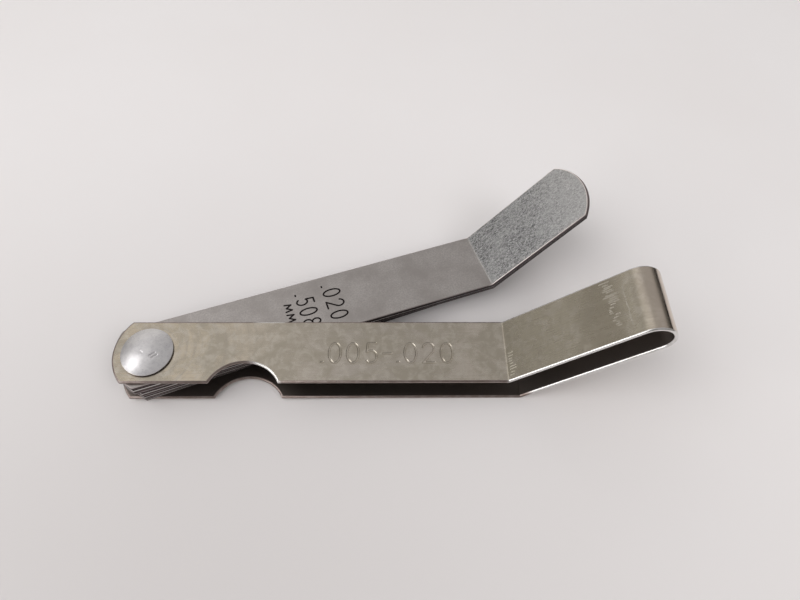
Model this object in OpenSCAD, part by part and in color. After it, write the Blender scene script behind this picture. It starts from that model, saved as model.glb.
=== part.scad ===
// Bent feeler gauge: sixteen leaves on one rivet, in a case folded from a single steel strip.
//
// Frame: the origin is on the rivet's axis, in the flat end of its lower head. +X runs along the
// case towards the bent tip, +Z up. The leaves swing about Z, towards +Y.
//
// Every layer has a fold near fold_x, beyond which it climbs at bend degrees. A straight fold
// can't turn under another straight fold without clashing at its corners, so the layers below
// the top leaf step outwards, and the hidden leaves are folded along an arc about the rivet.

/* [Leaves] */
// Width of a leaf and of the case
leaf_w = 12.7; // [11:0.1:14]
// Thickest leaf, in thousandths of an inch
thickest = 20; // [20:1:25]
// Free height left above each leaf
leaf_play = 0.015; // [0.01:0.005:0.03]
// Slope length from the fold to a leaf's tip corners
leaf_tip = 22.2; // [18:0.1:23]
// Radius of the leaves' rounded tips
end_r = 8.5; // [7.5:0.1:12]
// Radius of the rounded rear ends of the case and of the leaves
rear_r = 9.5; // [7.5:0.1:12]
// Distance from the rivet back to the rear corners of the case and of the thick leaves
rear = 3.8; // [3:0.1:5]
// Distance from the rivet back to the rear corners of the thin leaves
rear_thin = 2.9; // [2.5:0.1:5]

/* [Swing] */
// Swing of the top leaf out of the case
swing_top = 19; // [0:1:90]
// Further swing from one thick leaf to the next
swing_thick = 0.1; // [0:0.05:1]
// Further swing from the last thick leaf to the first thin one
swing_gap = 0.5; // [0:0.1:2]
// Further swing from one thin leaf to the next
swing_thin = 0.15; // [0:0.01:1]

/* [Case] */
// Thickness of the case's strip
case_t = 0.7; // [0.6:0.05:1]
// Distance from the rivet to the fold, on the case's upper face
fold_x = 65.2; // [55:0.1:75]
// Angle of the fold
bend = 41; // [30:1:45]
// Slope length from the fold to the start of the return bend
case_tip = 25.5; // [25.5:0.1:30]
// Distance from the rivet to the middle of the thumb notch
notch_x = 17.9; // [15:0.1:30]
// Radius of the thumb notch
notch_r = 6.7; // [4:0.1:8]
// Depth of the thumb notch below the case's edge
notch_depth = 4.05; // [2:0.05:4.5]

/* [Rivet] */
// Radius of the rivet's shank
shank_r = 2.4; // [1.5:0.1:3]
// Radial clearance between the shank and the leaves
shank_play = 0.05; // [0.02:0.01:0.1]
// Radius of the domed upper head
dome_r = 4.75; // [4:0.05:5]
// Height of the dome above its rim
dome_h = 1; // [0.8:0.1:2]
// Height of the dome's rim
rim_h = 0.4; // [0.1:0.05:0.5]
// Radius of the lower head
foot_r = 4.2; // [3.5:0.1:5]
// Height of the lower head
foot_h = 0.9; // [0.6:0.1:1.5]
// Chamfer around the lower head's flat end
foot_chamfer = 0.5; // [0.2:0.1:0.5]

/* [Hidden] */
$fn = 96;

thou = 0.0254;
leaf_count = 16;
thick_count = 5;
reach = 60;    // longer than any leaf's sloping part, taller than the whole gauge
fold_play = 0.05;    // gap left where a fold turns past the next layer's

half_w = leaf_w / 2;
lean = tan(bend / 2);    // how far a fold line moves outwards per millimetre of depth
sag = sqrt(fold_x * fold_x + half_w * half_w) - fold_x;    // how much further out a fold's corner is
step_out = sag + fold_play;    // outward step that lets a straight fold turn past the next layer

function leaf_t(i) = (thickest - i) * thou;
function stack_t(i) = i == 0 ? 0 : stack_t(i - 1) + leaf_t(i - 1) + leaf_play;
function swing(i) = i < thick_count
    ? swing_top + i * swing_thick
    : swing_top + (thick_count - 1) * swing_thick + swing_gap + (i - thick_count) * swing_thin;

floor_z = foot_h + case_t;    // upper face of the lower cover
roof_z = floor_z + stack_t(leaf_count) + leaf_play;    // lower face of the upper cover
top_z = roof_z + case_t;

// A leaf's upper face, and the distance of its fold from the rivet there
function leaf_top(i) = roof_z - leaf_play - stack_t(i);
function leaf_fold(i) = fold_x + (top_z - leaf_top(i)) * lean + step_out * (i == 0 ? 1 : 2);

// The slot between the covers is deeper beyond the fold, by the outward steps
slot_t = (roof_z - floor_z) + 2 * step_out * sin(bend);
floor_fold = fold_x + (top_z - floor_z) * lean + 2 * step_out;

// A point on the case's tip: s up the slope from the fold, n below the upper face
function on_slope(s, n) = [
    fold_x + s * cos(bend) + n * sin(bend),
    top_z + s * sin(bend) - n * cos(bend)
];

// Section of a strip of thickness t, from x = back to slope length s beyond its fold.
// Its upper face is at z and folds at x = fold.
function bent_strip(back, fold, z, t, s) = [
    [back, z],
    [fold, z],
    [fold + s * cos(bend), z + s * sin(bend)],
    [fold + s * cos(bend) + t * sin(bend), z + s * sin(bend) - t * cos(bend)],
    [fold + t * lean, z - t],
    [back, z - t]
];

// Everything ahead of an arc of radius r whose chord, one strip wide, is at x = corner
module ahead_of_arc(corner, r) {
    arc_x = corner + sqrt(r * r - half_w * half_w);
    translate([arc_x, 0, -reach]) {
        cylinder(r = r, h = 2 * reach);
        translate([0, -r, 0]) cube([3 * reach, 2 * r, 2 * reach]);
    }
}

// Everything on the rivet's side of a leaf's tip, cut square to the sloping part
module within_tip(i) {
    translate([leaf_fold(i), 0, leaf_top(i)])
        rotate([0, -bend, 0]) translate([leaf_tip, 0, 0]) mirror([1, 0, 0])
                ahead_of_arc(0, end_r);
}

module bent_straight(i) {
    rotate([90, 0, 0]) linear_extrude(leaf_w, center = true)
        polygon(bent_strip(-rear_r, leaf_fold(i), leaf_top(i), leaf_t(i), reach / 2));
}

module bent_round(i) {
    intersection() {
        rotate_extrude($fn = 180)
            polygon(bent_strip(0, leaf_fold(i), leaf_top(i), leaf_t(i), reach / 2));
        translate([-rear_r, -half_w, 0]) cube([3 * reach, leaf_w, reach]);
    }
}

module leaf(i) {
    color([0.66, 0.66, 0.65]) rotate([0, 0, swing(i)]) difference() {
        intersection() {
            if (i == 0) bent_straight(i);
            else bent_round(i);
            ahead_of_arc(i < thick_count ? -rear : -rear_thin, rear_r);
            within_tip(i);
        }
        cylinder(r = shank_r + shank_play, h = reach);
    }
}

module case_section() {
    bend_r = case_t + slot_t / 2;    // outer radius of the return bend
    polygon([
        [-rear_r, top_z],
        [fold_x, top_z],
        for (a = [0:5:180]) on_slope(case_tip + bend_r * sin(a), bend_r - bend_r * cos(a)),
        [floor_fold + case_t * lean, foot_h],
        [-rear_r, foot_h],
        [-rear_r, floor_z],
        [floor_fold, floor_z],
        for (a = [180:-5:0])
            on_slope(case_tip + slot_t / 2 * sin(a), bend_r - slot_t / 2 * cos(a)),
        [fold_x + case_t * lean, roof_z],
        [-rear_r, roof_z]
    ]);
}

module case() {
    color([0.66, 0.63, 0.56]) difference() {
        intersection() {
            rotate([90, 0, 0]) linear_extrude(leaf_w, center = true) case_section();
            ahead_of_arc(-rear, rear_r);
        }
        cylinder(r = shank_r, h = reach);
        translate([notch_x, notch_depth - notch_r - half_w, 0]) cylinder(r = notch_r, h = reach);
    }
}

module rivet() {
    dome_sphere_r = (dome_r * dome_r + dome_h * dome_h) / (2 * dome_h);
    color([0.74, 0.75, 0.78]) {
        cylinder(r1 = foot_r - foot_chamfer, r2 = foot_r, h = foot_chamfer);
        translate([0, 0, foot_chamfer]) cylinder(r = foot_r, h = foot_h - foot_chamfer);
        cylinder(r = shank_r, h = top_z + rim_h);
        translate([0, 0, top_z]) cylinder(r = dome_r, h = rim_h);
        intersection() {
            translate([0, 0, top_z + rim_h + dome_h - dome_sphere_r]) sphere(r = dome_sphere_r);
            translate([0, 0, top_z + rim_h]) cylinder(r = dome_r, h = dome_h);
        }
    }
}

case();
rivet();
leaf(0);  // leaf_20_thou
leaf(1);  // leaf_19_thou
leaf(2);  // leaf_18_thou
leaf(3);  // leaf_17_thou
leaf(4);  // leaf_16_thou
leaf(5);  // leaf_15_thou
leaf(6);  // leaf_14_thou
leaf(7);  // leaf_13_thou
leaf(8);  // leaf_12_thou
leaf(9);  // leaf_11_thou
leaf(10);  // leaf_10_thou
leaf(11);  // leaf_09_thou
leaf(12);  // leaf_08_thou
leaf(13);  // leaf_07_thou
leaf(14);  // leaf_06_thou
leaf(15);  // leaf_05_thou
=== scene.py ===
"""Looks of the bent feeler gauge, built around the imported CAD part.

Lengths are in millimetres until a mesh is written. A sheet's own coordinates are u along the
strip, y across it and depth below the face that shows. The materials read them from the point
attribute "strip", with depth as a share of the thickness. On the rivet it holds x, y and z.
"""

import math
import random
from typing import NamedTuple

import bpy
import numpy as np
from mathutils import Matrix, Vector, noise
from mathutils.geometry import delaunay_2d_cdt


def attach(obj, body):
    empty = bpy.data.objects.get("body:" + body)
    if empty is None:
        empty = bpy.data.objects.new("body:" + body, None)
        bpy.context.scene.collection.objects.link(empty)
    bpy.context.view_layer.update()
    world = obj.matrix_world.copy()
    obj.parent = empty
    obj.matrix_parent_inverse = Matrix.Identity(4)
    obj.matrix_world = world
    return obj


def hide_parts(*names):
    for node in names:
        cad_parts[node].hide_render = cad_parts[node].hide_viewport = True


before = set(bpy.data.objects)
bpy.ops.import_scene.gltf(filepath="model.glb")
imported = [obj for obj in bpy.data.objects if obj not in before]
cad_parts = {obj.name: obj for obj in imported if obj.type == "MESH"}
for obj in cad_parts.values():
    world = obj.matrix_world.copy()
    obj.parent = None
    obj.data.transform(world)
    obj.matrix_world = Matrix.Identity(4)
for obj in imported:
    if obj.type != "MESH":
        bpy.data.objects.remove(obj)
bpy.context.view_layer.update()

MM = 0.001
THOU = 0.0254

# ---- The design's own sizes, as in the CAD source ----
HALF_W = 12.7 / 2
END_R, REAR_R = 8.5, 9.5  # radii of the leaves' tips, and of every rear end
REAR, REAR_THIN = 3.8, 2.9  # from the rivet back to the rear corners; the thin leaves' own
LEAF_TIP, LEAF_PLAY = 22.2, 0.015
THICKEST, LEAF_COUNT, THICK_COUNT = 20, 16, 5
SWING_TOP, SWING_THICK, SWING_GAP, SWING_THIN = 19, 0.1, 0.5, 0.15
CASE_T, FOLD_X, CASE_TIP = 0.7, 65.2, 25.5
BEND = math.radians(41)
FOLD_PLAY = 0.05
NOTCH_X, NOTCH_R, NOTCH_DEPTH = 17.9, 6.7, 4.05
SHANK_R, SHANK_PLAY = 2.4, 0.05
DOME_R, DOME_H, RIM_H = 4.75, 1.0, 0.4
FOOT_R, FOOT_H, FOOT_CHAMFER = 4.2, 0.9, 0.5

LEAN = math.tan(BEND / 2)  # how far a fold moves outwards per millimetre of depth
STEP_OUT = math.hypot(FOLD_X, HALF_W) - FOLD_X + FOLD_PLAY
FLOOR_Z = FOOT_H + CASE_T  # upper face of the lower cover


def leaf_t(i):
    return (THICKEST - i) * THOU


def stack_t(i):
    return sum(leaf_t(k) + LEAF_PLAY for k in range(i))


def swing(i):
    thick = min(i, THICK_COUNT - 1)
    thin = i - THICK_COUNT
    return SWING_TOP + thick * SWING_THICK + (SWING_GAP + thin * SWING_THIN if thin >= 0 else 0)


ROOF_Z = FLOOR_Z + stack_t(LEAF_COUNT) + LEAF_PLAY  # lower face of the upper cover
TOP_Z = ROOF_Z + CASE_T
RIM_Z = TOP_Z + RIM_H  # where the rivet's dome starts
SLOT_T = ROOF_Z - FLOOR_Z + 2 * STEP_OUT * math.sin(BEND)


def leaf_top(i):
    return ROOF_Z - LEAF_PLAY - stack_t(i)


def leaf_fold(i):
    return FOLD_X + (TOP_Z - leaf_top(i)) * LEAN + STEP_OUT * (1 if i == 0 else 2)


# ---- Sheets ----

RIM_STEPS = 4  # facets round a sheet's rounded edge
END_FACETS, HOLE_FACETS = 28, 72
STROKE_END_FACETS = 6
SAME_POINT = 1e-4  # points closer than this are one
WELD = 2e-5  # the same, for the triangulation
GROOVE_GUARD = 2e-3  # points this near a groove's rim stay on the face
SHARP_DEG = 35  # an edge that turns by more stays crisp

FACE, INNER, EDGE = range(3)  # a sheet's material slots, and its groups of faces
MARK_SLOT = 3  # the first slot for marks
MARK_GROUP = 10


class Mark(NamedTuple):
    """Pen strokes sunk into a sheet's face."""

    strokes: list
    half: float  # half the groove's width
    floor: float  # share of that width at the bottom
    depth: float
    slot: int


class Path:
    """The side view of a sheet's outer face, with the sheet on the right.

    steps are (length, radius): radius is None on a straight run, positive to turn left and
    negative to turn right.
    """

    def __init__(self, x, z, steps):
        self.knots, heading, u = [], 0.0, x
        for length, radius in steps:
            self.knots.append((u, x, z, heading, radius))
            x, z, heading = self._go(self.knots[-1], length, 0)
            u += length
        self.end = u

    @staticmethod
    def _go(knot, s, depth):
        _, x, z, heading, radius = knot
        if radius is None:
            into = (math.sin(heading), -math.cos(heading))
            return (
                x + s * math.cos(heading) + depth * into[0],
                z + s * math.sin(heading) + depth * into[1],
                heading,
            )
        cx = x - radius * math.sin(heading)
        cz = z + radius * math.cos(heading)
        turned = heading + s / radius
        r = radius + depth
        return cx + r * math.sin(turned), cz - r * math.cos(turned), turned

    def at(self, u, depth=0.0):
        """(x, z, heading) at u along the outer face and depth below it."""
        knot = next((k for k in reversed(self.knots) if k[0] <= u), self.knots[0])
        return self._go(knot, u - knot[0], depth)

    def stations(self, step_deg, guard):
        """Where lines across the sheet are needed: through every turn, and just outside it."""
        found = []
        for (start, *_, radius), (end, *_) in zip(self.knots, self.knots[1:]):
            if radius is None:
                continue
            span = end - start
            n = max(2, round(math.degrees(span / abs(radius)) / step_deg))
            found += [start - guard, *(start + span * k / n for k in range(n + 1)), end + guard]
        return found


def arc_points(cx, cy, r, start, end, count, ry=None):
    """Points round an arc, or round an ellipse of radii r and ry, angles in degrees."""
    ry = r if ry is None else ry
    angles = (math.radians(start + (end - start) * k / count) for k in range(count + 1))
    return [(cx + r * math.cos(a), cy + ry * math.sin(a)) for a in angles]


def arc_back(radius):
    """How far behind a rounded end's corners its centre is."""
    return math.sqrt(radius**2 - HALF_W**2)


def end_arc(radius, inset):
    """A rounded end of a strip, running from -y to +y, with its corners at x = 0."""
    r, back = radius - inset, arc_back(radius)
    corner = math.degrees(math.asin((HALF_W - inset) / r))
    return [(x - back, y) for x, y in arc_points(0, 0, r, -corner, corner, END_FACETS)]


def thin_out(points):
    """The points without those that repeat the one before."""
    kept = [points[0]]
    for p in points[1:]:
        if math.dist(p, kept[-1]) > SAME_POINT:
            kept.append(p)
    return kept


def outline_of(stroke, half):
    """The closed outlines of a pen stroke: a line with round ends, or a loop's two sides."""
    pts = np.array(stroke)
    closed = math.dist(stroke[0], stroke[-1]) < SAME_POINT
    if closed:
        pts = pts[:-1]
        ahead, behind = np.roll(pts, -1, 0), np.roll(pts, 1, 0)
        along = ahead - behind
    else:
        along = np.gradient(pts, axis=0)
    along /= np.linalg.norm(along, axis=1)[:, None]
    side = np.stack([-along[:, 1], along[:, 0]], 1) * half
    left, right = (pts + side).tolist(), (pts - side).tolist()
    if closed:
        return [left, right]
    caps = []
    for point, direction in ((pts[-1], along[-1]), (pts[0], -along[0])):
        a = math.degrees(math.atan2(direction[1], direction[0]))
        caps.append(arc_points(*point, half, a - 90, a + 90, STROKE_END_FACETS)[1:-1])
    return [thin_out([*right, *caps[0], *reversed(left), *caps[1]])]


def distance_to(points, strokes):
    """How far each point is from the nearest pen stroke."""
    p = np.asarray(points, float)
    best = np.full(len(p), 1e9)
    for stroke in strokes:
        s = np.array(stroke, float)
        a, d = s[:-1], np.diff(s, axis=0)
        long2 = np.maximum((d * d).sum(1), 1e-12)
        rel = p[:, None, :] - a[None]
        t = np.clip((rel * d[None]).sum(2) / long2, 0, 1)
        gap = rel - t[..., None] * d[None]
        best = np.minimum(best, np.sqrt((gap * gap).sum(2)).min(1))
    return best


def inside(points, loops):
    """Whether each point is inside the first loop and outside the others, which are holes."""
    p = np.asarray(points, float)
    found = np.zeros(len(p), bool)
    for loop in loops:
        a = np.array(loop, float)
        b = np.roll(a, -1, 0)
        for (x0, y0), (x1, y1) in zip(a, b):
            if y0 == y1:
                continue
            crossed = (y0 > p[:, 1]) != (y1 > p[:, 1])
            found ^= crossed & (p[:, 0] < x0 + (p[:, 1] - y0) * (x1 - x0) / (y1 - y0))
    return found


def triangulate(loops, lines, marks):
    """(points, triangles, for each loop its points' numbers) of the face inside the loops."""
    points, edges, starts = [], [], []

    def chain(pts, closed):
        first = len(points)
        points.extend(Vector(p) for p in pts)
        edges.extend((k, k + 1) for k in range(first, len(points) - 1))
        if closed:
            edges.append((len(points) - 1, first))
        return first

    for loop in loops:
        starts.append(chain(loop, True))
    for line in lines:
        chain(line, False)
    for mark in marks:
        for half in (mark.half, mark.half * mark.floor):
            for stroke in mark.strokes:
                for outline in outline_of(stroke, half):
                    chain(outline, True)
    out, _, faces, origins, _, _ = delaunay_2d_cdt(points, edges, [], 0, WELD)
    new_of = {old: new for new, olds in enumerate(origins) for old in olds}
    xy = np.array([tuple(v) for v in out])
    tri = np.array(faces)
    tri = tri[inside(xy[tri].mean(1), loops)]
    rings = [
        [new_of[start + k] for k in range(len(loop))] for start, loop in zip(starts, loops)
    ]
    return xy, tri, rings


class Sheet:
    """Collects a closed sheet's points, in its own coordinates, and its faces."""

    def __init__(self, place):
        self.place = place  # (u, y, depth) to (x, y, z)
        self.flat, self.faces, self.groups, self.slots = [], [], [], []

    def point(self, u, y, depth):
        self.flat.append((u, y, depth))
        return len(self.flat) - 1

    def face(self, corners, group, slot):
        self.faces.append(tuple(corners))
        self.groups.append(group)
        self.slots.append(slot)

    def ring(self, loop, depth):
        return [self.point(*p, depth) for p in loop]

    def walls(self, upper, lower):
        n = len(upper)
        for k in range(n):
            after = (k + 1) % n
            self.face((upper[k], lower[k], lower[after], upper[after]), EDGE, EDGE)

    def cap(self, part, loops, rings, depth, lines, marks):
        """Fills the face or the inner face between loops, whose points are rings."""
        xy, tri, own = triangulate(loops, lines, marks)
        number = {}
        for ring, mine in zip(rings, own):
            number.update(zip(mine, ring))
        sunk = np.zeros(len(xy))
        middle = xy[tri].mean(1)
        groups, slots = np.full(len(tri), part), np.full(len(tri), part)
        for k, mark in enumerate(marks):
            floor = mark.half * mark.floor
            near = distance_to(xy, mark.strokes)
            share = np.clip((mark.half - near) / (mark.half - floor), 0, 1)
            share[near > mark.half - GROOVE_GUARD] = 0
            sunk = np.maximum(sunk, share * mark.depth)
            hit = distance_to(middle, mark.strokes) < mark.half
            groups[hit], slots[hit] = MARK_GROUP + k, mark.slot
        for k, (x, y) in enumerate(xy):
            if k not in number:
                number[k] = self.point(float(x), float(y), depth + float(sunk[k]))
        for triangle, group, slot in zip(tri, groups, slots):
            corners = [number[int(k)] for k in triangle]
            if len(set(corners)) == 3:
                self.face(reversed(corners) if part == INNER else corners, int(group), int(slot))

    def make(self, name, materials, turn):
        used = sorted({k for f in self.faces for k in f})
        new = {old: k for k, old in enumerate(used)}
        flat = [self.flat[k] for k in used]
        spin = Matrix.Rotation(math.radians(turn), 3, "Z")
        coords = [spin @ (Vector(self.place(*p)) * MM) for p in flat]
        faces = [tuple(new[k] for k in f) for f in self.faces]
        strip = np.array(flat, np.float32)
        strip[:, 2] /= strip[:, 2].max()
        return mesh_object(name, coords, faces, materials, self.slots, strip, self.groups)


def add_object(name, data):
    obj = bpy.data.objects.new(name, data)
    bpy.context.scene.collection.objects.link(obj)
    return obj


def mesh_object(name, coords, faces, materials, slots, strip, groups=None):
    """A smooth mesh with crisp edges. slots and groups are per face, strip is per point."""
    mesh = bpy.data.meshes.new(name)
    mesh.from_pydata(coords, [], faces)
    for material in materials:
        mesh.materials.append(material)
    mesh.polygons.foreach_set("material_index", slots)
    mesh.polygons.foreach_set("use_smooth", [True] * len(faces))
    attribute = mesh.attributes.new("strip", "FLOAT_VECTOR", "POINT")
    attribute.data.foreach_set("vector", np.array(strip, np.float32).ravel())
    mesh.update()
    sharpen(mesh, groups)
    return add_object(name, mesh)


def sharpen(mesh, groups):
    """Keeps an edge crisp where its two faces are of different groups, or meet at an angle."""
    normals = [p.normal.copy() for p in mesh.polygons]
    owners = {}
    for p in mesh.polygons:
        for key in p.edge_keys:
            owners.setdefault(key, []).append(p.index)
    limit = math.cos(math.radians(SHARP_DEG))
    crisp = [False] * len(mesh.edges)
    for edge in mesh.edges:
        both = owners.get(edge.key, [])
        if len(both) == 2:
            a, b = both
            split = groups is not None and groups[a] != groups[b]
            crisp[edge.index] = split or normals[a].dot(normals[b]) < limit
    edges = mesh.attributes.get("sharp_edge") or mesh.attributes.new(
        "sharp_edge", "BOOLEAN", "EDGE"
    )
    edges.data.foreach_set("value", crisp)


def build_sheet(name, place, outline, holes, thickness, edge, lines, marks, materials, turn=0.0):
    """A closed sheet with rounded edges of radius edge. outline and holes give their points for
    an inset, and lines gives the lines across it. materials are for the face, the inner face,
    the edge and the marks."""
    sheet = Sheet(place)
    turns = (math.pi / 2 * k / RIM_STEPS for k in range(RIM_STEPS + 1))
    rim = [(edge * (1 - math.sin(a)), edge * (1 - math.cos(a))) for a in turns]
    profile = [*rim, *((inset, thickness - depth) for inset, depth in reversed(rim))]
    shapes = [outline, *holes]
    rings = [[sheet.ring(shape(inset), depth) for inset, depth in profile] for shape in shapes]
    for levels in rings:
        for upper, lower in zip(levels, levels[1:]):
            sheet.walls(upper, lower)
    loops = [shape(edge) for shape in shapes]
    sheet.cap(FACE, loops, [levels[0] for levels in rings], 0.0, lines(edge), marks)
    sheet.cap(INNER, loops, [levels[-1] for levels in rings], thickness, lines(edge), [])
    return sheet.make(name, materials, turn)


def circle(cx, cy, r):
    """A hole's outline for an inset, clockwise."""
    return lambda inset: arc_points(cx, cy, r + inset, 0, -360, HOLE_FACETS)[:-1]


# ---- Numerals and a letter, one unit high: their width and their pen strokes ----

ZERO = [arc_points(0.26, 0.5, 0.26, 90, 450, 32, 0.5)]
SIX = [
    arc_points(0.28, 0.3, 0.26, 0, 360, 24, 0.3),
    arc_points(0.6, 0.3, 0.58, 178, 100, 10, 0.7),
]
GLYPHS = {
    "0": (0.52, ZERO),
    "1": (0.3, [[(0.04, 0.8), (0.26, 1)], [(0.26, 1), (0.26, 0)]]),
    "2": (
        0.54,
        [
            [*arc_points(0.27, 0.72, 0.25, 165, -38, 16, 0.28), (0.02, 0)],
            [(0.02, 0), (0.54, 0)],
        ],
    ),
    "3": (
        0.52,
        [
            arc_points(0.25, 0.76, 0.22, 150, -90, 16, 0.24),
            arc_points(0.25, 0.26, 0.27, 90, -150, 18, 0.26),
        ],
    ),
    "4": (0.56, [[(0.42, 0), (0.42, 1)], [(0.42, 1), (0, 0.28)], [(0, 0.28), (0.56, 0.28)]]),
    "5": (
        0.52,
        [
            [(0.48, 1), (0.12, 1)],
            [(0.12, 1), (0.08, 0.56)],
            arc_points(0.26, 0.31, 0.26, 132, -140, 20, 0.31),
        ],
    ),
    "6": (0.54, SIX),
    "7": (0.52, [[(0, 1), (0.52, 1)], [(0.52, 1), (0.18, 0)]]),
    "8": (
        0.54,
        [
            arc_points(0.27, 0.76, 0.22, 90, 450, 24, 0.24),
            arc_points(0.27, 0.26, 0.27, 90, 450, 26, 0.26),
        ],
    ),
    "9": (0.54, [[(0.54 - x, 1 - y) for x, y in stroke] for stroke in SIX]),
    ".": (0.04, [[(-0.02, 0.04), (0.06, 0.04)]]),
    "-": (0.36, [[(0, 0.46), (0.36, 0.46)]]),
    "M": (
        0.62,
        [
            [(0, 0), (0.08, 1)],
            [(0.08, 1), (0.31, 0.2)],
            [(0.31, 0.2), (0.54, 1)],
            [(0.54, 1), (0.62, 0)],
        ],
    ),
}


def write(text, along, up, origin, height, gap, wide=1.0):
    """The strokes of a line of text from origin, running along, with its glyphs' tops up."""
    strokes, pen = [], 0.0
    for char in text:
        width, shapes = GLYPHS[char]
        for shape in shapes:
            strokes.append(
                [
                    tuple(
                        o + a * (pen + x * wide * height) + b * y * height
                        for o, a, b in zip(origin, along, up)
                    )
                    for x, y in shape
                ]
            )
        pen += width * wide * height + gap
    return strokes


# ---- Shader helpers ----


class Nodes:
    """Builds the node tree of a material or of the world."""

    def __init__(self, owner):
        owner.use_nodes = True
        self.tree = owner.node_tree
        self.tree.nodes.clear()

    def add(self, kind, inputs=None, **settings):
        node = self.tree.nodes.new(kind)
        for name, value in settings.items():
            setattr(node, name, value)
        for name, value in (inputs or {}).items():
            if isinstance(value, bpy.types.NodeSocket):
                self.tree.links.new(value, node.inputs[name])
            else:
                node.inputs[name].default_value = value
        return node

    def maths(self, operation, a, b, clamp=False):
        node = self.add("ShaderNodeMath", {0: a, 1: b}, operation=operation, use_clamp=clamp)
        return node.outputs[0]

    def noise(self, vector, scale, detail, rough, distortion=0.0):
        node = self.add(
            "ShaderNodeTexNoise",
            {
                "Vector": vector,
                "Scale": scale,
                "Detail": detail,
                "Roughness": rough,
                "Distortion": distortion,
            },
        )
        return node.outputs["Fac"]

    def spread(self, value, low, high, to_low=0.0, to_high=1.0):
        """value's range low to high, taken smoothly to another range."""
        node = self.add(
            "ShaderNodeMapRange",
            {
                "Value": value,
                "From Min": low,
                "From Max": high,
                "To Min": to_low,
                "To Max": to_high,
            },
            interpolation_type="SMOOTHSTEP",
        )
        return node.outputs["Result"]

    def stretch(self, vector, scale):
        return self.add("ShaderNodeMapping", {"Vector": vector, "Scale": scale}).outputs[0]

    def blend(self, share, a, b):
        """Colour a, with the given share of colour b over it."""
        node = self.add("ShaderNodeMix", data_type="RGBA")
        for socket, value in zip((node.inputs[0], node.inputs[6], node.inputs[7]), (share, a, b)):
            if isinstance(value, bpy.types.NodeSocket):
                self.tree.links.new(value, socket)
            else:
                socket.default_value = value
        return node.outputs[2]

    def parts(self, vector):
        return self.add("ShaderNodeSeparateXYZ", {"Vector": vector}).outputs

    def ring(self, vector, radius):
        """Coordinates that run round the rivet: distance along a circle, and its radius."""
        x, y, _ = self.parts(vector)
        angle = self.maths("ARCTAN2", y, x)
        inputs = {"X": self.maths("MULTIPLY", angle, radius), "Y": radius}
        return self.add("ShaderNodeCombineXYZ", inputs).outputs[0]

    def bump(self, height, distance, strength, normal=None):
        inputs = {"Height": height, "Distance": distance, "Strength": strength}
        if normal is not None:
            inputs["Normal"] = normal
        return self.add("ShaderNodeBump", inputs).outputs["Normal"]

    def surface(self, inputs):
        shader = self.add("ShaderNodeBsdfPrincipled", inputs)
        out = self.add("ShaderNodeOutputMaterial")
        self.tree.links.new(shader.outputs[0], out.inputs["Surface"])


def new_material(name):
    material = bpy.data.materials.new(name)
    return material, Nodes(material)


def strip_vector(n):
    return n.add("ShaderNodeAttribute", attribute_name="strip").outputs["Vector"]


def rgb(r, g, b):
    return (r, g, b, 1.0)


# ---- Materials ----

RETURN_U = 90  # u just before the case's return bend
LOWER_FOLD_U = 129  # u of the lower cover's fold


def case_material():
    """Handled nickel plate, beige by the rivet, with painted shade over the middle of the upper
    cover, brushed lengthwise beyond the fold.
    """
    material, n = new_material("case_nickel")
    by_rivet, middle, by_fold = rgb(0.69, 0.6, 0.47), rgb(0.62, 0.565, 0.51), rgb(0.71, 0.64, 0.56)
    slope, round_tip = rgb(0.67, 0.62, 0.5), rgb(0.68, 0.585, 0.51)
    stain, smear, brushed = rgb(0.47, 0.425, 0.35), rgb(0.49, 0.445, 0.38), rgb(0.5, 0.455, 0.37)
    pale, dark, thumbed = rgb(0.7, 0.65, 0.57), rgb(0.47, 0.42, 0.35), rgb(0.38, 0.34, 0.27)
    at = strip_vector(n)
    u, _, _ = n.parts(at)
    cloud = n.noise(at, 0.13, 5, 0.62, 0.8)
    blotch = n.noise(at, 0.55, 5, 0.65, 0.5)
    streak = n.noise(n.stretch(at, (0.09, 3.2, 1)), 1.0, 5, 0.75)
    beyond = n.spread(u, FOLD_X - 0.3, FOLD_X + 0.3)
    from_rivet = n.add("ShaderNodeVectorMath", {0: at}, operation="LENGTH").outputs["Value"]
    swipe = n.noise(n.stretch(n.ring(at, from_rivet), (0.12, 1.1, 1)), 1.0, 4, 0.65)
    # middle is darker than both ends: painted shade, standing in for a dark reflection over the
    # middle of the upper cover
    colour = n.blend(n.spread(u, 4, 38), by_rivet, middle)
    colour = n.blend(n.spread(u, 44, 64), colour, by_fold)
    colour = n.blend(beyond, colour, slope)
    colour = n.blend(n.spread(cloud, 0.4, 0.62, 0.0, 0.85), colour, stain)
    smeared = n.maths("MULTIPLY", n.spread(swipe, 0.42, 0.68), n.spread(u, 10, 26, 0.8, 0.25))
    colour = n.blend(smeared, colour, smear)
    fine = n.maths("MULTIPLY", n.spread(streak, 0.35, 0.65), n.spread(beyond, 0, 1, 0.5, 0.8))
    colour = n.blend(fine, colour, brushed)
    colour = n.blend(n.spread(blotch, 0.45, 0.65, 0.0, 0.55), colour, pale)
    colour = n.blend(n.spread(blotch, 0.42, 0.25, 0.0, 0.6), colour, dark)
    climbing = n.spread(u, FOLD_X + 12, FOLD_X + 19)
    handled = n.maths("MULTIPLY", climbing, n.spread(u, RETURN_U, RETURN_U - 4))
    colour = n.blend(n.maths("MULTIPLY", handled, 0.75), colour, thumbed)
    colour = n.blend(n.spread(u, RETURN_U, RETURN_U + 4, 0.0, 0.7), colour, round_tip)
    rough = n.spread(cloud, 0.3, 0.7, 0.22, 0.32)
    rough = n.maths("ADD", rough, n.spread(streak, 0.3, 0.7, -0.04, 0.04))
    rough = n.maths("SUBTRACT", rough, n.spread(u, RETURN_U - 1, RETURN_U + 2, 0.0, 0.09))
    normal = n.bump(streak, 6e-6, 0.5)
    normal = n.bump(blotch, 1e-5, 0.25, normal)
    n.surface({"Base Color": colour, "Metallic": 1.0, "Roughness": rough, "Normal": normal})
    return material


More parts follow.
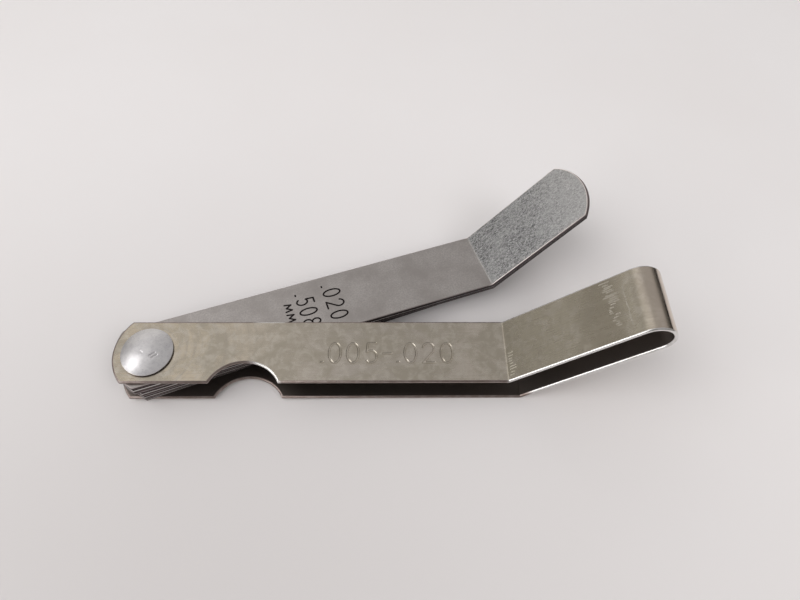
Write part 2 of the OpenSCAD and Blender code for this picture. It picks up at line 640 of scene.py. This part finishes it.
def plain_metal(name, colour, rough):
    """One metal, with a fine grain in its colour, roughness and surface."""
    material, n = new_material(name)
    grain = n.noise(strip_vector(n), 6.0, 4, 0.6)
    darker = rgb(*(c * 0.86 for c in colour[:3]))
    n.surface(
        {
            "Base Color": n.blend(n.spread(grain, 0.3, 0.7), colour, darker),
            "Metallic": 1.0,
            "Roughness": n.spread(grain, 0.3, 0.7, rough - 0.05, rough + 0.05),
            "Normal": n.bump(grain, 2e-6, 0.6),
        }
    )
    return material


def case_edge_material():
    """Cut edge: dull brown, with a painted highlight on both slopes and on the notch's front."""
    material, n = new_material("case_edge")
    at = strip_vector(n)
    u, _, _ = n.parts(at)
    wear = n.noise(at, 0.9, 4, 0.65)
    beyond = n.spread(u, FOLD_X - 0.4, FOLD_X + 0.2)
    # painted highlight: the edge is whitened on both slopes and on the notch's front
    slope_highlight = n.maths("MULTIPLY", beyond, n.spread(u, LOWER_FOLD_U - 1, LOWER_FOLD_U - 3))
    ahead = n.spread(u, NOTCH_X, NOTCH_X + 2.5)
    notch_highlight = n.maths("MULTIPLY", ahead, n.spread(u, NOTCH_X + 7.1, NOTCH_X + 5.9))
    painted_light = n.maths("ADD", slope_highlight, notch_highlight, True)
    dull = n.blend(n.spread(wear, 0.35, 0.7), rgb(0.27, 0.215, 0.195), rgb(0.36, 0.305, 0.285))
    # the painted highlight's colour
    bright = n.blend(n.spread(wear, 0.45, 0.75), rgb(0.78, 0.77, 0.76), rgb(0.62, 0.6, 0.58))
    colour, rough = n.blend(painted_light, dull, bright), n.spread(painted_light, 0, 1, 0.34, 0.27)
    n.surface({"Base Color": colour, "Metallic": 1.0, "Roughness": rough})
    return material


def leaf_edge_material(name, painted_top_band):
    """Cut edge: a top band whose painted light each copy sets, a painted highlight beyond the
    fold, and painted shade below it, as in the gaps between leaves.
    """
    material, n = new_material(name)
    at = strip_vector(n)
    u, _, depth = n.parts(at)
    wear = n.noise(at, 1.4, 3, 0.6)
    beyond = n.spread(u, FOLD_X - 0.3, FOLD_X + 0.5)
    # painted highlight: the top band is brightened beyond the fold
    painted_light = n.blend(beyond, painted_top_band, rgb(*(min(2.3 * c, 0.9) for c in painted_top_band[:3])))
    # painted shade on the lower part of the edge, as in the gaps between leaves
    painted_gap_shade = n.blend(n.spread(wear, 0.35, 0.7), rgb(0.018, 0.012, 0.013), rgb(0.06, 0.044, 0.045))
    colour = n.blend(n.spread(depth, 0.14, 0.36), painted_light, painted_gap_shade)
    n.surface({"Base Color": colour, "Metallic": 1.0, "Roughness": 0.34})
    return material


def leaf_material():
    """Ground spring steel, scuffed dark and bright beyond the fold, with a painted highlight
    growing towards the tip's end.
    """
    material, n = new_material("leaf_steel")
    at = strip_vector(n)
    u, _, _ = n.parts(at)
    grit = n.noise(at, 3.2, 3, 0.75)
    scuff = n.noise(n.stretch(at, (1.6, 3.4, 1)), 1.0, 5, 0.8, 1.2)
    cloud = n.noise(at, 0.16, 5, 0.62)
    beyond = n.spread(u, FOLD_X + 0.4, FOLD_X + 1.0)
    flat = n.blend(n.spread(cloud, 0.36, 0.68), rgb(0.63, 0.595, 0.575), rgb(0.47, 0.435, 0.415))
    flat = n.blend(n.spread(grit, 0.35, 0.65, 0.0, 0.75), flat, rgb(0.44, 0.415, 0.405))
    tip = n.blend(n.spread(scuff, 0.36, 0.62), rgb(0.08, 0.08, 0.083), rgb(0.6, 0.6, 0.6))
    tip = n.blend(n.spread(grit, 0.4, 0.66, 0.0, 0.6), tip, rgb(0.12, 0.12, 0.123))
    # painted highlight: brighter towards the tip's end
    tip = n.blend(n.spread(u, 76, 90, 0.0, 0.4), tip, rgb(0.6, 0.59, 0.58))
    tip = n.blend(n.spread(cloud, 0.42, 0.65, 0.0, 0.35), tip, rgb(0.46, 0.46, 0.46))
    height = n.maths("ADD", grit, scuff)
    n.surface(
        {
            "Base Color": n.blend(beyond, flat, tip),
            "Metallic": 1.0,
            "Roughness": n.spread(beyond, 0, 1, 0.36, 0.45),
            "Normal": n.bump(height, 1.2e-5, n.spread(beyond, 0, 1, 0.2, 1.0)),
        }
    )
    return material


def rivet_material():
    """Satin metal, slightly pitted."""
    material, n = new_material("rivet_metal")
    at = strip_vector(n)
    pits = n.noise(at, 1.1, 5, 0.7, 0.6)
    fine = n.noise(at, 7, 3, 0.6)
    colour = n.blend(n.spread(pits, 0.35, 0.7), rgb(0.82, 0.81, 0.82), rgb(0.7, 0.69, 0.71))
    normal = n.bump(pits, 2.5e-5, 0.35)
    n.surface(
        {
            "Base Color": colour,
            "Metallic": 1.0,
            "Roughness": n.spread(fine, 0.3, 0.7, 0.27, 0.38),
            "Normal": n.bump(fine, 3e-6, 0.4, normal),
        }
    )
    return material


CASE_FACE = case_material()
# the case's inside faces: painted shade inside between the covers, with some oil
CASE_INNER_SHADE = plain_metal("case_inside_painted_shade", rgb(0.26, 0.225, 0.205), 0.42)
CASE_EDGE = case_edge_material()
CASE_SCRATCH = plain_metal("case_scratch", rgb(0.74, 0.7, 0.6), 0.5)
CASE_RUB = plain_metal("case_rub", rgb(0.56, 0.52, 0.45), 0.5)
LEAF_FACE = leaf_material()
# leaf undersides darker than their faces: painted shade, so the gaps between leaves look dark
LEAF_UNDER_SHADE = plain_metal("leaf_underside_painted_shade", rgb(0.4, 0.375, 0.365), 0.4)
LEAF_EDGES = [  # taken in turn down the stack, so that its leaves can be told apart: lit and shaded copies, their top bands painted from bright highlight to dark shade
    leaf_edge_material("leaf_edge", rgb(0.4, 0.355, 0.345)),
    leaf_edge_material("leaf_edge_painted_shade", rgb(0.11, 0.085, 0.085)),
    leaf_edge_material("leaf_edge_painted_highlight", rgb(0.9, 0.86, 0.84)),
    leaf_edge_material("leaf_edge_painted_brown_shade", rgb(0.17, 0.13, 0.125)),
]
LEAF_MARK = plain_metal("etched_mark", rgb(0.03, 0.025, 0.025), 0.6)
RIVET_METAL = rivet_material()
# the rim's dark wall: painted shade along the edge of the head
RIVET_RIM_SHADE = plain_metal("rivet_rim_painted_shade", rgb(0.13, 0.105, 0.1), 0.4)


# ---- Leaves ----

FOLD_R = 0.3  # inner radius of a leaf's fold
LEAF_EDGE_R = 0.15
ACROSS, AHEAD = (0, -1), (1, 0)  # a leaf's marks run across it, with their tops to the tip
BISECTIONS = 40


def leaf_marks(i):
    """The leaf's thickness in inches and in millimetres, with the second's unit."""
    inches, mm = f".{THICKEST - i:03d}", f".{round(leaf_t(i) * 1000):03d}"
    strokes = [
        *write(inches, ACROSS, AHEAD, origin=(33.68, 4.1), height=3.3, gap=1.08, wide=0.9),
        *write(mm, ACROSS, AHEAD, origin=(28.3, 3.7), height=3.3, gap=1.05, wide=0.84),
        *write("MM", ACROSS, AHEAD, origin=(25.85, 2.1), height=1.25, gap=0.72, wide=2.1),
    ]
    return [Mark(strokes, half=0.17, floor=0.7, depth=min(0.02, leaf_t(i) / 8), slot=MARK_SLOT)]


def build_leaf(i):
    """Leaf i down the stack. The top one's fold is straight, the others' arcs about the rivet."""
    top, fold, t, arc = leaf_top(i), leaf_fold(i), leaf_t(i), i > 0
    inset_fold = FOLD_R * LEAN
    path = Path(
        0,
        top,
        [(fold - inset_fold, None), (FOLD_R * BEND, FOLD_R), (LEAF_TIP + END_R, None)],
    )
    start = path.knots[1][0]
    slope = start - inset_fold + FOLD_R * BEND  # u is this plus the slope length from the fold

    def place(u, y, depth):
        reach = math.hypot(u, y) if arc else u
        if u <= 0 or reach <= start:
            return u, y, top - depth
        r, z, _ = path.at(reach, depth)
        return (math.sqrt(r * r - y * y) if arc else r), y, z

    def tip_u(y, inset):
        """u of the tip's arc, which is cut square to the slope."""
        s_end = LEAF_TIP - arc_back(END_R) + math.sqrt((END_R - inset) ** 2 - y * y)
        if not arc:
            return slope + s_end
        low, high = fold, fold + LEAF_TIP + END_R
        for _ in range(BISECTIONS):
            r = (low + high) / 2
            x = math.sqrt(r * r - y * y)
            s = (x - fold) * math.cos(BEND) + (r - fold) * math.tan(BEND) * math.sin(BEND)
            low, high = (r, high) if s < s_end else (low, r)
        return math.sqrt((slope + (r - fold) / math.cos(BEND)) ** 2 - y * y)

    stations = [*path.stations(6, 0.25), *(slope + s for s in (4, 8, 12, 16, 20))]
    across = 12

    def at_station(reach, y):
        return (math.sqrt(reach * reach - y * y) if arc else reach), y

    rear = REAR if i < THICK_COUNT else REAR_THIN

    def outline(inset):
        side = HALF_W - inset
        tip = [(tip_u(y, inset), y) for _, y in end_arc(END_R, inset)]
        back = [(-rear - x, y) for x, y in reversed(end_arc(REAR_R, inset))]
        front_side = [at_station(r, -side) for r in stations]
        back_side = [at_station(r, side) for r in reversed(stations)]
        return [*front_side, *tip, *back_side, *back]

    def lines(inset):
        side = HALF_W - inset
        return [
            [at_station(r, side * (2 * k / across - 1)) for k in range(across + 1)]
            for r in stations
        ]

    obj = build_sheet(
        f"gauge_leaf_{THICKEST - i:02d}",
        place,
        outline,
        [circle(0, 0, SHANK_R + SHANK_PLAY)],
        t,
        min(LEAF_EDGE_R, t * 0.3),
        lines,
        leaf_marks(i),
        [LEAF_FACE, LEAF_UNDER_SHADE, LEAF_EDGES[i % len(LEAF_EDGES)], LEAF_MARK],
        swing(i),
    )
    node = f"leaf_{THICKEST - i:02d}_thou"
    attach(obj, node)
    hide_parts(node)


for leaf in range(LEAF_COUNT):
    build_leaf(leaf)

# ---- Case ----

CASE_FOLD_R = 0.45  # inner radius of the case's folds
CASE_EDGE_R = 0.32
CASE_HOLE_R = SHANK_R + 0.02  # in the CAD the rivet fills its holes in the case


def case_path():
    """From the rivet on the upper cover, round the return bend, to the rivet on the lower."""
    bend_r = CASE_T + SLOT_T / 2
    upper, lower = CASE_FOLD_R * LEAN, (CASE_FOLD_R + CASE_T) * LEAN
    corner_x = FOLD_X + (TOP_Z - FLOOR_Z + CASE_T) * LEAN + 2 * STEP_OUT
    turn_x = FOLD_X + CASE_TIP * math.cos(BEND) + 2 * bend_r * math.sin(BEND)
    lower_slope = (turn_x - corner_x) / math.cos(BEND)
    return Path(
        0,
        TOP_Z,
        [
            (FOLD_X - upper, None),
            (CASE_FOLD_R * BEND, CASE_FOLD_R),
            (CASE_TIP - upper, None),
            (bend_r * math.pi, -bend_r),
            (lower_slope - lower, None),
            ((CASE_FOLD_R + CASE_T) * BEND, -(CASE_FOLD_R + CASE_T)),
            (corner_x - lower, None),
        ],
    )


def fold_scratches(draw):
    """Short lengthwise scratches that the bending tool left by the fold."""
    strokes = []
    for k in range(9):
        y = -0.8 - 0.55 * k + draw.uniform(-0.1, 0.1)
        start = FOLD_X + 0.6 + draw.uniform(-0.1, 0.1)
        strokes.append([(start, y), (start + draw.uniform(0.5, 1.2), y + 0.05)])
    return strokes


def bend_rubs(draw):
    """Rub marks of the same tool before the return bend: lengthwise, then a ragged cross line."""
    strokes = []
    for k in range(22):
        y = 5.4 - 0.42 * k + draw.uniform(-0.14, 0.14)
        start = FOLD_X + 20.1 + 0.06 * k + draw.uniform(-0.6, 0.6)
        reach = draw.uniform(0.8, 2.3) if k < 11 else draw.uniform(0.2, 0.8)
        strokes.append([(start, y), (start + reach, y + draw.uniform(-0.06, 0.06))])
    for k in range(15):
        y = 3.6 - 0.52 * k + draw.uniform(-0.05, 0.05)
        start = FOLD_X + 23.5 + 0.02 * k + draw.uniform(-0.07, 0.07)
        strokes.append([(start, y), (start + 0.05, y - draw.uniform(0.2, 0.42))])
    return strokes


def case_marks():
    """The set's size limits, engraved in place of a name, and the bending tool's marks."""
    draw = random.Random(7)
    numerals = write(".005-.020", (1, 0), (0, 1), origin=(31.6, -2.45), height=4.1, gap=1.15)
    return [
        Mark(numerals, half=0.22, floor=0.4, depth=0.1, slot=FACE),
        Mark(fold_scratches(draw), half=0.09, floor=0.4, depth=0.012, slot=MARK_SLOT),
        Mark(bend_rubs(draw), half=0.11, floor=0.4, depth=0.01, slot=MARK_SLOT + 1),
    ]


def build_case():
    path = case_path()
    low_u = path.end  # u of the rivet on the lower cover

    def place(u, y, depth):
        x, z, _ = path.at(u, depth)
        return x, y, z

    stations = path.stations(5, 0.3)

    def notch(inset):
        """The notch's edge on the upper cover, from its rear to its front."""
        r, side = NOTCH_R + inset, HALF_W - inset
        cy = NOTCH_DEPTH - NOTCH_R - HALF_W
        half = math.degrees(math.acos((-side - cy) / r))
        return [(NOTCH_X + x, cy + y) for x, y in arc_points(0, 0, r, 90 + half, 90 - half, 36)]

    def outline(inset):
        side = HALF_W - inset
        rear = [(-REAR - x, y) for x, y in end_arc(REAR_R, inset)]
        front = [(u, -side) for u in stations]
        back = [(u, side) for u in reversed(stations)]
        return [
            *notch(inset),
            *front,
            *((low_u - x, y) for x, y in reversed(notch(inset))),
            *((low_u - x, y) for x, y in rear),
            *back,
            *reversed(rear),
        ]

    def lines(inset):
        side = HALF_W - inset
        return [[(u, -side), (u, side)] for u in stations]

    obj = build_sheet(
        "gauge_case",
        place,
        outline,
        [circle(0, 0, CASE_HOLE_R), circle(low_u, 0, CASE_HOLE_R)],
        CASE_T,
        CASE_EDGE_R,
        lines,
        case_marks(),
        [CASE_FACE, CASE_INNER_SHADE, CASE_EDGE, CASE_SCRATCH, CASE_RUB],
    )
    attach(obj, "case")
    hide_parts("case")


build_case()

# ---- Rivet ----

HEAD_OVAL = (0.985, 1.035)  # the hammered upper head is a little longer across the case
HEAD_SHIFT = (0.1, -0.3)
HEAD_LIP, HEAD_TUCK = 0.08, 0.12  # the rim's rounded upper corner, and how far in it starts
HEAD_UNEVEN = 0.03
HEAD_AROUND, HEAD_RINGS = 192, 76
NICKS = [  # short dents in the head: from, to, half width, depth
    ((1.05, -1.6), (1.85, -0.95), 0.13, 0.11),
    ((1.5, -1.95), (2.25, -1.35), 0.13, 0.12),
    ((-0.75, -0.7), (-0.35, -1.1), 0.13, 0.025),
]
NICKS_REACH = 3  # no dent gets further from the middle of the head


def nick_depth(x, y):
    depth = 0.0
    for start, end, half, deep in NICKS:
        gap = distance_to([(x, y)], [[start, end]])[0]
        depth += deep * math.exp(-((gap / half) ** 2))
    return depth


def head_point(r, z, x, y):
    """(x, y, z) in the oval and uneven head, from a point on a circle of radius r."""
    x, y = (c * s + d for c, s, d in zip((x, y), HEAD_OVAL, HEAD_SHIFT))
    if z > RIM_Z:
        wave = noise.noise(Vector((x, y, 0)) * 0.6) - 0.5
        dent = nick_depth(x, y) if r < NICKS_REACH else 0.0
        z += HEAD_UNEVEN * (1 - (r / DOME_R) ** 2) * wave - dent
    return x, y, z


def build_rivet():
    sphere_r = (DOME_R**2 + DOME_H**2) / (2 * DOME_H)
    foot = [  # (radius, height) of the lower head and the shank
        (1.8, 0.0),
        (FOOT_R - FOOT_CHAMFER, 0.0),
        (FOOT_R - 0.08, FOOT_CHAMFER - 0.06),
        (FOOT_R, FOOT_CHAMFER),
        (FOOT_R, FOOT_H),
        (SHANK_R, FOOT_H),
        (SHANK_R, TOP_Z),
    ]
    head = [
        (DOME_R - HEAD_TUCK, TOP_Z),
        (DOME_R - 0.02, RIM_Z - 2 * HEAD_LIP),
        (DOME_R, RIM_Z - HEAD_LIP),
    ]
    for k in range(HEAD_RINGS):
        r = (DOME_R - HEAD_LIP / 2) * (1 - k / HEAD_RINGS)
        head.append((r, RIM_Z + DOME_H - sphere_r + math.sqrt(sphere_r**2 - r * r)))
    levels = [*foot, *head]
    verts, faces = [Vector((0, 0, 0))], []
    for level, (r, z) in enumerate(levels):
        for x, y in arc_points(0, 0, r, 0, 360, HEAD_AROUND)[:-1]:
            verts.append(Vector(head_point(r, z, x, y) if level >= len(foot) else (x, y, z)))
    verts.append(Vector((*HEAD_SHIFT, RIM_Z + DOME_H - 0.015)))
    firsts = [1 + HEAD_AROUND * level for level in range(len(levels))]
    for k in range(HEAD_AROUND):
        after = (k + 1) % HEAD_AROUND
        faces.append((0, 1 + after, 1 + k))
        for a, b in zip(firsts, firsts[1:]):
            faces.append((a + k, a + after, b + after, b + k))
        faces.append((firsts[-1] + k, firsts[-1] + after, len(verts) - 1))
    slots = []
    for face in faces:
        heights = [verts[k].z for k in face]
        # the rim's wall takes the dark second material: painted shade
        slots.append(int(min(heights) >= TOP_Z and max(heights) < RIM_Z - HEAD_LIP))
    coords = [v * MM for v in verts]
    strip = [tuple(v) for v in verts]
    obj = mesh_object("gauge_rivet", coords, faces, [RIVET_METAL, RIVET_RIM_SHADE], slots, strip)
    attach(obj, "case")
    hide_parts("rivet")


build_rivet()

# ---- Table, light and camera ----


def floor_material():
    """A pale, matt table, with a painted soft shadow centred in front of the gauge and reaching
    under it.
    """
    material, n = new_material("table")
    at = n.add("ShaderNodeTexCoord").outputs["Object"]
    cloud = n.noise(at, 9, 4, 0.55)
    colour = n.blend(n.spread(cloud, 0.3, 0.7), rgb(0.83, 0.815, 0.82), rgb(0.81, 0.79, 0.79))
    # painted shadow: darker towards a point in front of the gauge
    away = n.add("ShaderNodeVectorMath", {0: at, 1: (0.01, -0.06, 0)}, operation="DISTANCE")
    painted_shadow = n.spread(away.outputs["Value"], 0.0, 0.15, 0.95, 0.0)
    colour = n.blend(painted_shadow, colour, rgb(0.62, 0.6, 0.6))
    n.surface({"Base Color": colour, "Roughness": 0.7, "Specular IOR Level": 0.25})
    return material


def build_floor():
    """The gauge stands on its lower rivet head and on the fold of its lower cover."""
    foot = FOOT_R - FOOT_CHAMFER
    fold = FOLD_X + (TOP_Z - FOOT_H) * LEAN + 2 * STEP_OUT - (CASE_FOLD_R + CASE_T) * LEAN
    rise = FOOT_H / (fold - foot)
    half = 2000  # past the edge of every view
    corners = [(-half, -half), (half, -half), (half, half), (-half, half)]
    coords = [Vector((x, y, (x - foot) * rise)) * MM for x, y in corners]
    mesh = bpy.data.meshes.new("table")
    mesh.from_pydata(coords, [], [(0, 1, 2, 3)])
    mesh.materials.append(floor_material())
    add_object("table", mesh)


def build_world():
    """A white room: darker low down, in front and on the right, brighter overhead and behind."""
    world = bpy.data.worlds.new("room")
    bpy.context.scene.world = world
    n = Nodes(world)
    way = n.add("ShaderNodeTexCoord").outputs["Generated"]
    _, y, z = n.parts(way)

    def towards(direction, low, high, most):
        """A soft patch of the room round a direction, low and high being cosines."""
        unit = Vector(direction).normalized()
        node = n.add("ShaderNodeVectorMath", {0: way, 1: unit}, operation="DOT_PRODUCT")
        return n.spread(node.outputs["Value"], low, high, 0.0, most)

    level = n.add("ShaderNodeValToRGB", {"Fac": z})
    ramp = level.color_ramp
    for at, value in ((0.0, 0.12), (0.3, 0.33), (0.6, 0.42), (0.999, 0.46)):
        stop = ramp.elements.new(at)
        stop.color = rgb(value, value, value)
    ramp.elements.remove(ramp.elements[0])
    ramp.elements.remove(ramp.elements[-1])
    front = n.spread(y, -0.9, 0.0, 0.6, 1.0)
    bright = n.maths("MULTIPLY", level.outputs["Color"], front)
    bright = n.maths("ADD", bright, towards((-0.45, 0.3, 0.84), 0.86, 0.99, 0.25))
    bright = n.maths("ADD", bright, towards((-0.35, 0.87, 0.34), 0.86, 0.98, 0.35))
    bright = n.maths("SUBTRACT", bright, towards((0.84, 0.5, 0.17), 0.9, 0.99, 0.2), True)
    warm = n.blend(n.spread(z, 0.1, 0.8), rgb(1.0, 0.955, 0.9), rgb(1.0, 0.975, 0.96))
    back = n.add("ShaderNodeBackground", {"Color": warm, "Strength": bright})
    out = n.add("ShaderNodeOutputWorld")
    n.tree.links.new(back.outputs[0], out.inputs["Surface"])


DAYLIGHT, ROOM_LIGHT = (1.0, 0.99, 0.98), (1.0, 0.975, 0.97)
LIGHTS = [  # name, direction, distance and size in metres, radiance, colour, mirrored
    ("window", (-0.8, -0.4, 0.42), 1.1, (1.0, 0.5), 2.2, DAYLIGHT, True),
    ("lamp", (-0.63, 0.1, 0.77), 1.1, (0.38, 0.38), 1.9, DAYLIGHT, True),
    ("ceiling", (-0.38, -0.3, 0.86), 1.6, (1.1, 1.1), 2.4, ROOM_LIGHT, False),
    ("front", (0.5, -0.42, 0.74), 1.3, (0.5, 0.5), 3.9, ROOM_LIGHT, False),
]
LIT_POINT = Vector((0.04, 0, 0))  # the middle of the gauge, in metres


def area_light(name, way, distance, size, radiance, colour, mirrored):
    """A soft rectangular light in the direction way, facing the gauge.
    One that isn't mirrored lights the table, but leaves no highlight on the metal."""
    way = Vector(way).normalized()
    light = bpy.data.lights.new(name, "AREA")
    light.shape = "RECTANGLE"
    light.size, light.size_y = size
    light.energy, light.color = radiance * math.pi * size[0] * size[1], colour
    obj = add_object(name, light)
    obj.visible_glossy = mirrored
    obj.location = LIT_POINT + way * distance
    obj.rotation_mode = "QUATERNION"
    obj.rotation_quaternion = way.to_track_quat("Z", "Y")


def build_camera():
    """The photograph's viewpoint: its target, distance, downward tilt, heading and roll."""
    target, distance = Vector((46.013, 11.270, TOP_Z)), 126.96
    tilt, heading, roll = (math.radians(a) for a in (55.598, 2.440, 2.029))
    forward = Vector(
        (
            math.sin(heading) * math.cos(tilt),
            math.cos(heading) * math.cos(tilt),
            -math.sin(tilt),
        )
    )
    right = Vector((math.cos(heading), -math.sin(heading), 0))
    up = right.cross(forward)
    x_axis = math.cos(roll) * right + math.sin(roll) * up
    y_axis = math.cos(roll) * up - math.sin(roll) * right
    data = bpy.data.cameras.new("camera")
    data.sensor_width, data.lens = 36, 29.64
    data.clip_start, data.clip_end = 0.01, 20
    obj = add_object("camera", data)
    turn = Matrix((x_axis, y_axis, -forward)).transposed().to_4x4()
    obj.matrix_world = Matrix.Translation((target - forward * distance) * MM) @ turn
    bpy.context.scene.camera = obj


build_floor()
build_world()
for light in LIGHTS:
    area_light(*light)
build_camera()
bpy.context.scene.view_settings.view_transform = "Standard"
